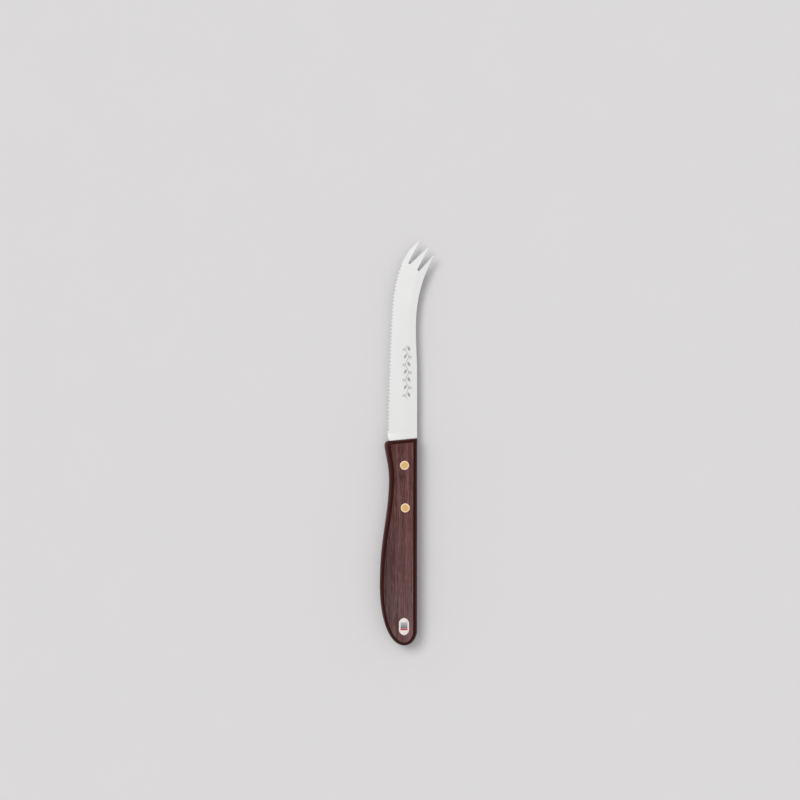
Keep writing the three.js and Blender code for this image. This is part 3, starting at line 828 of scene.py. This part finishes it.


# Rosewood: broad bands, fine streaks and pores, each a noise drawn out along the handle.
# The flat faces were sanded with the rivets and are duller than the polished edges, which are darkened with
# painted shade; the faces grow paler towards the spine.
def rosewood():
    look = rosewoodLook
    material, tree, shader, coords = newMaterial("rosewood")
    wander = minus(tree, grainNoise(tree, coords, **look["wander"]), 0.5)
    shift = put(tree, "ShaderNodeCombineXYZ", {"X": times(tree, wander, look["sway"] * mm)}).outputs[0]
    bent = put(tree, "ShaderNodeVectorMath", {0: coords, 1: shift}, operation="ADD").outputs[0]
    names = ("bands", "streaks", "pores", "flecks")
    bands, streaks, pores, flecks = (grainNoise(tree, bent, **look[name]) for name in names)
    patches = grainNoise(tree, coords, **look["patches"])

    across, length, height = split(tree, coords)
    depth = calc(tree, "ABSOLUTE", minus(tree, height, midZ * mm))
    wearStart, wearEnd = ((frontY - value) * mm for value in look["worn"])
    wear = span(tree, length, wearStart, wearEnd, 0.0, look["wornShare"])
    face = span(tree, depth, *((midZ - value) * mm for value in look["faceBand"]))
    # painted shade: how dark each depth of the rounded edges is made
    turn = span(tree, depth, *((midZ - value) * mm for value in look["edgeShadeTurn"]), *look["edgeShadeDepth"])
    tone = span(tree, across, *((spineX - value) * mm for value in look["paleSide"]), *look["sideTone"])

    base = ramp(tree, bands, look["bandPlaces"], [look["dark"], look["middle"], look["light"]])
    pale = plus(tree, span(tree, patches, *look["patchSpan"]), wear)
    weathered = tint(tree, pale, base, look["weathered"])
    streaked = tint(tree, span(tree, streaks, *look["streakSpan"]), weathered, look["dark"])
    opened = span(tree, pores, *look["poreSpan"])
    pored = tint(tree, times(tree, opened, look["poreShare"]), streaked, look["pore"])
    dusted = tint(tree, span(tree, flecks, *look["fleckSpan"]), pored, look["fleck"])
    sanded = put(tree, "ShaderNodeVectorMath", {0: dusted, "Scale": tone}, operation="SCALE").outputs[0]
    # the rounded edges take the painted shade, deepest where they turn from the face
    edgeShaded = tint(tree, turn, pored, look["edgeShade"])
    tree.links.new(tint(tree, face, edgeShaded, sanded), shader.inputs["Base Color"])

    dull = span(tree, streaks, *noiseRange, *look["faceRoughness"])
    bright = span(tree, streaks, *noiseRange, *look["edgeRoughness"])
    finish = plus(tree, bright, times(tree, face, minus(tree, dull, bright)))
    tree.links.new(finish, shader.inputs["Roughness"])
    emboss(tree, shader, minus(tree, times(tree, streaks, look["streakRelief"]), opened), *look["relief"])
    shader.inputs["Specular IOR Level"].default_value = look["specular"]
    return material


steelLook = {
    "base": (0.74, 0.74, 0.735),
    "dull": (0.68, 0.68, 0.675),
    "dullShare": 0.6,
    "lines": {"scale": (70, 7000, 300), "detail": 3, "roughness": 0.7},
    "cloud": {"scale": (90, 60, 90), "detail": 4},
    "lineShare": 0.7,  # of the lines in the roughness; the cloud makes up the rest
    "roughness": (0.13, 0.2),
    "relief": (0.06, 0.02),
    "etched": (0.2, 0.2, 0.2),
    "etchRoughness": 0.25,  # added where the steel is etched
    "etchPlace": (-5.5, 36.8),  # millimetres from the spine and from the handle's front end
    "etchFace": 0.1,  # millimetres above the blade's middle from which the etching is full
    "etchBlur": 0.03,
    "etchCells": 7,
    "cellLength": 4.2,
    "stemSwing": 0.75,
    "stemWidth": 0.13,
    "leafPlace": (0.25, -0.95),
    "leafSize": (1.6, 0.62),
    "leafTurn": 24.0,
    "leafVein": (0.05, 0.11),
    "fruitPlace": (-0.2, 1.75),
    "fruitRing": (0.62, 0.11),
    "fruitCore": 0.22,
}


# Vine scroll: a cosine stem in cells that alternate sides, each with a lens leaf and a ringed fruit.
def vineScroll(tree, coords):
    look = steelLook
    place = (spineX + look["etchPlace"][0], frontY + look["etchPlace"][1], midZ)
    x, y, z = splitFrom(tree, coords, place)
    length = look["cellLength"]
    cells = plus(tree, calc(tree, "DIVIDE", y, length), 0.5)
    cell = calc(tree, "FLOOR", cells)
    u = times(tree, minus(tree, minus(tree, cells, cell), 0.5), length)
    flip = minus(tree, 1.0, times(tree, calc(tree, "FLOORED_MODULO", cell, 2.0), 2.0))
    v = times(tree, x, flip)

    # 1 where a distance is below zero, with a soft rim
    def solid(distance):
        return span(tree, distance, look["etchBlur"], -look["etchBlur"])

    wave = calc(tree, "COSINE", times(tree, u, math.pi / length))
    stem = solid(beyond(tree, v, times(tree, wave, look["stemSwing"]), look["stemWidth"]))

    du, dv = minus(tree, u, look["leafPlace"][0]), minus(tree, v, look["leafPlace"][1])
    turn = math.radians(look["leafTurn"])
    p = plus(tree, times(tree, du, math.cos(turn)), times(tree, dv, math.sin(turn)))
    q = minus(tree, times(tree, dv, math.cos(turn)), times(tree, du, math.sin(turn)))
    leafLength, leafWidth = look["leafSize"]
    share = calc(tree, "DIVIDE", p, leafLength)
    bulge = times(tree, minus(tree, 1.0, times(tree, share, share)), leafWidth)
    vein = span(tree, calc(tree, "ABSOLUTE", q), *look["leafVein"])
    leaf = times(tree, solid(beyond(tree, q, 0.0, bulge)), vein)

    du, dv = minus(tree, u, look["fruitPlace"][0]), minus(tree, v, look["fruitPlace"][1])
    radius = calc(tree, "SQRT", plus(tree, times(tree, du, du), times(tree, dv, dv)))
    rind = solid(beyond(tree, radius, *look["fruitRing"]))
    core = solid(minus(tree, radius, look["fruitCore"]))

    marks = calc(tree, "MAXIMUM", calc(tree, "MAXIMUM", stem, leaf), calc(tree, "MAXIMUM", rind, core))
    inRow = solid(beyond(tree, y, 0.0, look["etchCells"] * length / 2))
    front = span(tree, z, 0.0, look["etchFace"])
    return times(tree, times(tree, marks, inRow), front)


# Satin steel: fine lines across the blade from the finishing wheel, a faint cloud of handling, the etching.
def satinSteel():
    look = steelLook
    material, tree, shader, coords = newMaterial("satinSteel")
    lines = grainNoise(tree, coords, **look["lines"])
    cloud = grainNoise(tree, coords, **look["cloud"])
    etched = vineScroll(tree, coords)
    plain = tint(tree, span(tree, lines, *noiseRange, 0.0, look["dullShare"]), look["base"], look["dull"])
    tree.links.new(tint(tree, etched, plain, look["etched"]), shader.inputs["Base Color"])
    finish = plus(tree, times(tree, lines, look["lineShare"]), times(tree, cloud, 1 - look["lineShare"]))
    rough = span(tree, finish, *noiseRange, *look["roughness"])
    matted = plus(tree, rough, times(tree, etched, look["etchRoughness"]))
    tree.links.new(matted, shader.inputs["Roughness"])
    emboss(tree, shader, lines, *look["relief"])
    shader.inputs["Metallic"].default_value = 1.0
    return material


brassLook = {
    "base": (0.56, 0.35, 0.13),
    "worn": (0.62, 0.41, 0.18),
    "wornSpan": (0.35, 0.65),
    # painted highlight round each head's rim
    "rim": (0.81, 0.6, 0.43),
    "rimHighlightStart": (1.65, 2.05),  # millimetres from the rivet's axis where the painted highlight begins and is full
    "lines": {"scale": (6500, 160, 400), "detail": 2, "roughness": 0.6},
    "cloud": {"scale": (700, 700, 700), "detail": 3},
    "roughness": (0.2, 0.36),
    "relief": (0.1, 0.02),
}


# Brass: sanding lines along the handle over a slightly mottled metal, with a painted highlight paler round
# each head's rim.
def sandedBrass():
    look = brassLook
    material, tree, shader, coords = newMaterial("sandedBrass")
    lines = grainNoise(tree, coords, **look["lines"])
    cloud = grainNoise(tree, coords, **look["cloud"])
    flat = put(tree, "ShaderNodeVectorMath", {0: coords, 1: (1, 1, 0)}, operation="MULTIPLY").outputs[0]
    radii = []
    for spot in rivetSpots.values():
        inputs = {0: flat, 1: (*spot * mm, 0)}
        radii.append(put(tree, "ShaderNodeVectorMath", inputs, operation="DISTANCE").outputs["Value"])
    # painted highlight: the brass grows paler towards each head's rim
    rim = span(tree, calc(tree, "MINIMUM", *radii), *(radius * mm for radius in look["rimHighlightStart"]))
    mottled = tint(tree, span(tree, cloud, *look["wornSpan"]), look["base"], look["worn"])
    tree.links.new(tint(tree, rim, mottled, look["rim"]), shader.inputs["Base Color"])
    tree.links.new(span(tree, lines, *noiseRange, *look["roughness"]), shader.inputs["Roughness"])
    emboss(tree, shader, lines, *look["relief"])
    shader.inputs["Metallic"].default_value = 1.0
    return material


filmLook = {
    "paper": (0.755, 0.66, 0.63),
    "line": (0.5, 0.45, 0.42),
    "lineShare": 0.6,
    "lineInset": (0.42, 0.54),  # millimetres in from the rim
    "panelTop": (0.42, 0.42, 0.44),
    "panelFoot": (0.06, 0.06, 0.075),
    "panel": (0, 0.75, 1.85, 1.65),  # middle and half sizes, from the label's middle
    "stripe": 0.42,  # pitch of the panel's fine lines
    "stripeSpan": (0.2, 0.8, 0.0, 0.35),
    "bar": (0, -1.5, 1.95, 0.5),
    "barColor": (0.38, 0.03, 0.055),
    "blur": 0.03,
    "cloud": {"scale": (900, 900, 900), "detail": 3},
    "roughness": (0.2, 0.32),
    "relief": (0.1, 0.03),
}


# Printed film: a pale ground with a fine border, a shaded grey panel and a red bar, from the label's middle.
# The border follows the rim: its inset is the radius less the root of the summed powers of x and y.
def printedFilm():
    look = filmLook
    material, tree, shader, coords = newMaterial("printedFilm")
    low, high = boxOf("label")
    x, y, _ = splitFrom(tree, coords, (low + high) / 2)

    # 1 inside a box with a soft rim
    def inBox(middleX, middleY, halfX, halfY):
        outside = calc(tree, "MAXIMUM", beyond(tree, x, middleX, halfX), beyond(tree, y, middleY, halfY))
        return span(tree, outside, look["blur"], -look["blur"])

    halfX, halfY, _ = (high - low) / 2
    past = calc(tree, "MAXIMUM", beyond(tree, y, 0.0, halfY - halfX), 0.0)
    power = labelLook["endPower"]
    powers = [calc(tree, "POWER", calc(tree, "ABSOLUTE", value), power) for value in (x, past)]
    inset = minus(tree, halfX, calc(tree, "POWER", plus(tree, *powers), 1 / power))
    near, far = look["lineInset"]
    border = span(tree, beyond(tree, inset, (near + far) / 2, 0.0), far - near, 0.0, 0.0, look["lineShare"])
    ground = tint(tree, border, look["paper"], look["line"])

    _, panelY, _, panelHalf = look["panel"]
    shade = span(tree, y, panelY + panelHalf, panelY - panelHalf)
    grey = tint(tree, shade, look["panelTop"], look["panelFoot"])
    wave = calc(tree, "SINE", times(tree, plus(tree, x, y), 2 * math.pi / look["stripe"]))
    lined = tint(tree, span(tree, wave, *look["stripeSpan"]), grey, look["panelTop"])
    printed = tint(tree, inBox(*look["panel"]), ground, lined)
    tree.links.new(tint(tree, inBox(*look["bar"]), printed, look["barColor"]), shader.inputs["Base Color"])
    cloud = grainNoise(tree, coords, **look["cloud"])
    tree.links.new(span(tree, cloud, *noiseRange, *look["roughness"]), shader.inputs["Roughness"])
    emboss(tree, shader, cloud, *look["relief"])
    return material


# A piece takes its finish, rides on the knife's one body, and stands for its node.
def fit(piece, material, node):
    piece.data.materials.clear()
    piece.data.materials.append(material)
    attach(piece, "root")
    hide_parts(node)


print("lines of the knife:", round(bladeLength, 1), "mm blade,", round(handleLength, 1), "mm handle")
fit(makeHandle(), rosewood(), "handle")
fit(makeBlade(), satinSteel(), "blade")
brass = sandedBrass()
for place in rivetSpots:
    pinHalf, tubeHalf = makeRivet(place)
    fit(pinHalf, brass, place + "_rivet_pin")
    fit(tubeHalf, brass, place + "_rivet_tube")
fit(makeLabel(), printedFilm(), "label")

stageLook = {
    "floor": (0.66, 0.648, 0.652),
    "floorShade": 0.985,  # how bright its darker clouds are beside that
    "floorCloud": {"scale": (30, 30, 30), "detail": 2},
    "floorRoughness": 0.8,
    "floorSize": 3.0,
    "floorDrop": 0.00005,
    "zenith": 1.03,
    "horizon": 0.5,
    "skyEdge": (0.68, 0.92),  # how high the sky begins to brighten, and where it is full
    "keyStrength": 1.4,
    "keyFrom": (-0.41, 0.41, 1.0),
    "keyAngle": 28.0,  # degrees across
}


# Floor: one pale sheet just under the knife.
def makeFloor():
    look = stageLook
    corners = np.array([[-1, -1], [1, -1], [1, 1], [-1, 1]]) * look["floorSize"] / 2
    points = np.column_stack([corners, np.full(len(corners), -look["floorDrop"])])
    mesh = bpy.data.meshes.new("floor")
    mesh.from_pydata(points.tolist(), [], [[0, 1, 2, 3]])
    floor = bpy.data.objects.new("floor", mesh)
    bpy.context.scene.collection.objects.link(floor)
    material, tree, shader, coords = newMaterial("paleFloor")
    cloud = grainNoise(tree, coords, **look["floorCloud"])
    shaded = [look["floorShade"] * value for value in look["floor"]]
    tree.links.new(tint(tree, cloud, look["floor"], shaded), shader.inputs["Base Color"])
    shader.inputs["Roughness"].default_value = look["floorRoughness"]
    mesh.materials.append(material)


# Sky: a dome that brightens from the horizon to straight overhead.
def makeSky():
    world = bpy.data.worlds.new("studio")
    world.use_nodes = True
    tree = world.node_tree
    tree.nodes.clear()
    _, _, up = split(tree, put(tree, "ShaderNodeTexCoord").outputs["Generated"])
    level = span(tree, up, *stageLook["skyEdge"], stageLook["horizon"], stageLook["zenith"])
    background = put(tree, "ShaderNodeBackground", {"Color": (1, 1, 1, 1), "Strength": level})
    put(tree, "ShaderNodeOutputWorld", {"Surface": background.outputs[0]})
    bpy.context.scene.world = world


# Key: one broad, soft sun from the upper left.
def makeKey():
    lamp = bpy.data.lights.new("key", "SUN")
    lamp.energy = stageLook["keyStrength"]
    lamp.angle = math.radians(stageLook["keyAngle"])
    key = bpy.data.objects.new("key", lamp)
    key.rotation_euler = Vector(stageLook["keyFrom"]).to_track_quat("Z", "Y").to_euler()
    key.location = stageLook["keyFrom"]
    bpy.context.scene.collection.objects.link(key)


cameraLook = {
    "lens": 100.0,
    "sensor": 36.0,
    "frameWidth": 0.4368,  # metres across the picture at the height of the blade
    "aim": (-0.00387, 0.0234),  # what lies at the middle of the picture
}


# Camera: straight down, as far up as the lens needs for the frame's width.
def makeCamera():
    look = cameraLook
    data = bpy.data.cameras.new("camera")
    data.lens = look["lens"]
    data.sensor_width = look["sensor"]
    camera = bpy.data.objects.new("camera", data)
    height = look["frameWidth"] * look["lens"] / look["sensor"]
    camera.location = (*look["aim"], midZ * mm + height)
    bpy.context.scene.collection.objects.link(camera)
    bpy.context.scene.camera = camera


makeFloor()
makeSky()
makeKey()
makeCamera()
bpy.context.scene.view_settings.view_transform = "Standard"
print("stage: floor, sky, key and camera")
